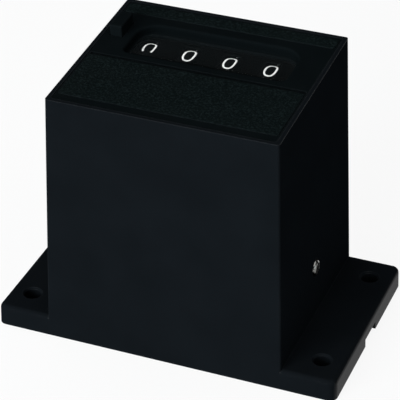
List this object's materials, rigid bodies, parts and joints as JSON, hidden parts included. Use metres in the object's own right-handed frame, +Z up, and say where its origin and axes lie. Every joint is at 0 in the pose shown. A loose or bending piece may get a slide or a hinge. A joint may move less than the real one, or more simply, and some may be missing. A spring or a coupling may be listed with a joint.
{
  "type": "impulse counter",
  "caption": "Base-mounted electromechanical counter: drafted box housing on a flange, figure wheels behind a sunk window, proud push reset key, screw holes in both ears.",
  "frame": {"origin": "middle of the footprint, on the mounting surface", "axes": "+Z up out of the mounting surface, +X to the reader's right along the flange, the front wall faces -Y"},
  "size_m": [0.0722, 0.0428, 0.0581],
  "materials": {
    "housing": "satin moulded black",
    "face": "black, leather-grained bands",
    "window": "clear polished pane",
    "plated_steel": "zinc plated sheet",
    "screw_steel": "bright nickel plated",
    "bright_steel": "ground",
    "spring_steel": "drawn wire",
    "hard_steel": "blanked and hardened",
    "soft_iron": "turned",
    "figure_wheel": "black, white figures",
    "ratchet_brass": "milled",
    "natural_nylon": "natural nylon",
    "bobbin": "natural nylon",
    "enamelled_copper": "enamelled copper wire",
    "base": "black",
    "terminal": "black",
    "lead_sleeve": "red insulation"
  },
  "bodies": {
    "case": {"housing": "housing", "face_plate": "face", "window_pane": "window", "window_mask": "face", "left_side_plate": "plated_steel", "right_side_plate": "plated_steel", "frame_spacers": "plated_steel", "frame_screws": "screw_steel", "chassis_floor": "plated_steel", "wheel_shaft": "bright_steel", "shaft_clips": "screw_steel", "pinion_shaft": "bright_steel", "magnet_yoke": "plated_steel", "magnet_core": "soft_iron", "coil_bobbin": "bobbin", "coil_winding": "enamelled_copper", "base_plate": "base", "base_screws": "screw_steel", "side_screws": "screw_steel", "terminal_block": "terminal", "terminal_screws": "screw_steel", "coil_leads": "lead_sleeve", "reset_key_spring": "spring_steel", "armature_spring": "spring_steel", "armature_pin": "bright_steel"},
    "key": {"reset_key": "face"},
    "reset_bail": {"reset_shaft": "bright_steel", "reset_lever": "hard_steel", "reset_hammers": "hard_steel"},
    "armature_arm": {"armature": "plated_steel", "drive_pawl_pin": "bright_steel"},
    "push_pawl": {"drive_pawl": "hard_steel"},
    "stop_pawl": {"holding_pawl": "hard_steel"},
    "wheel_thousands": {"number_wheel_thousands": "figure_wheel"},
    "wheel_hundreds": {"number_wheel_hundreds": "figure_wheel"},
    "wheel_tens": {"number_wheel_tens": "figure_wheel"},
    "wheel_units": {"number_wheel_units": "figure_wheel", "ratchet_wheel": "ratchet_brass"},
    "pinion_thousands": {"transfer_pinion_thousands": "natural_nylon"},
    "pinion_hundreds": {"transfer_pinion_hundreds": "natural_nylon"},
    "pinion_tens": {"transfer_pinion_tens": "natural_nylon"}
  },
  "joints": [
    {"name": "reset_key_push", "type": "slide", "parent": "case", "child": "key", "axis": [0, 0.0528, -0.9986], "range_m": [0, 0.00215], "stiffness_N_per_m": 120, "springref_m": -0.004, "deforming": ["reset_key_spring"]},
    {"name": "reset_bail_turn", "type": "hinge", "parent": "case", "child": "reset_bail", "pos_m": [0, -0.004, 0.0351], "axis": [-1, 0, 0], "range_deg": [0, 11.5]},
    {"name": "armature_swing", "type": "hinge", "parent": "case", "child": "armature_arm", "pos_m": [0, -0.0115, 0.03051], "axis": [-1, 0, 0], "range_deg": [0, 8], "stiffness_Nm_per_rad": 0.02, "springref_deg": -20.05, "deforming": ["armature_spring"]},
    {"name": "drive_pawl_swing", "type": "hinge", "parent": "armature_arm", "child": "push_pawl", "pos_m": [0, 0.00355, 0.03441], "axis": [-1, 0, 0], "range_deg": [-9, 0]},
    {"name": "holding_pawl_swing", "type": "hinge", "parent": "case", "child": "stop_pawl", "pos_m": [0, 0.01395, 0.04857], "axis": [1, 0, 0], "range_deg": [0, 12], "stiffness_Nm_per_rad": 0.0002, "springref_deg": -17.19},
    {"name": "wheel_thousands_turn", "type": "hinge", "parent": "case", "child": "wheel_thousands", "pos_m": [0, 0.0083, 0.04437], "axis": [1, 0, 0], "continuous": true},
    {"name": "wheel_hundreds_turn", "type": "hinge", "parent": "case", "child": "wheel_hundreds", "pos_m": [0, 0.0083, 0.04437], "axis": [1, 0, 0], "continuous": true},
    {"name": "wheel_tens_turn", "type": "hinge", "parent": "case", "child": "wheel_tens", "pos_m": [0, 0.0083, 0.04437], "axis": [1, 0, 0], "continuous": true},
    {"name": "wheel_units_turn", "type": "hinge", "parent": "case", "child": "wheel_units", "pos_m": [0, 0.0083, 0.04437], "axis": [1, 0, 0], "continuous": true},
    {"name": "pinion_thousands_turn", "type": "hinge", "parent": "case", "child": "pinion_thousands", "pos_m": [0, 0.01313, 0.03601], "axis": [1, 0, 0], "continuous": true},
    {"name": "pinion_hundreds_turn", "type": "hinge", "parent": "case", "child": "pinion_hundreds", "pos_m": [0, 0.01313, 0.03601], "axis": [1, 0, 0], "continuous": true},
    {"name": "pinion_tens_turn", "type": "hinge", "parent": "case", "child": "pinion_tens", "pos_m": [0, 0.01313, 0.03601], "axis": [1, 0, 0], "continuous": true}
  ],
  "couplings": [
    {"joint": "reset_bail_turn", "follows": "reset_key_push", "rad_per_m": 88.2},
    {"joint": "drive_pawl_swing", "follows": "armature_swing", "ratio": -1},
    {"joint": "pinion_thousands_turn", "follows": "wheel_thousands_turn", "ratio": -2.5},
    {"joint": "pinion_hundreds_turn", "follows": "wheel_hundreds_turn", "ratio": -2.5},
    {"joint": "pinion_tens_turn", "follows": "wheel_tens_turn", "ratio": -2.5}
  ]
}
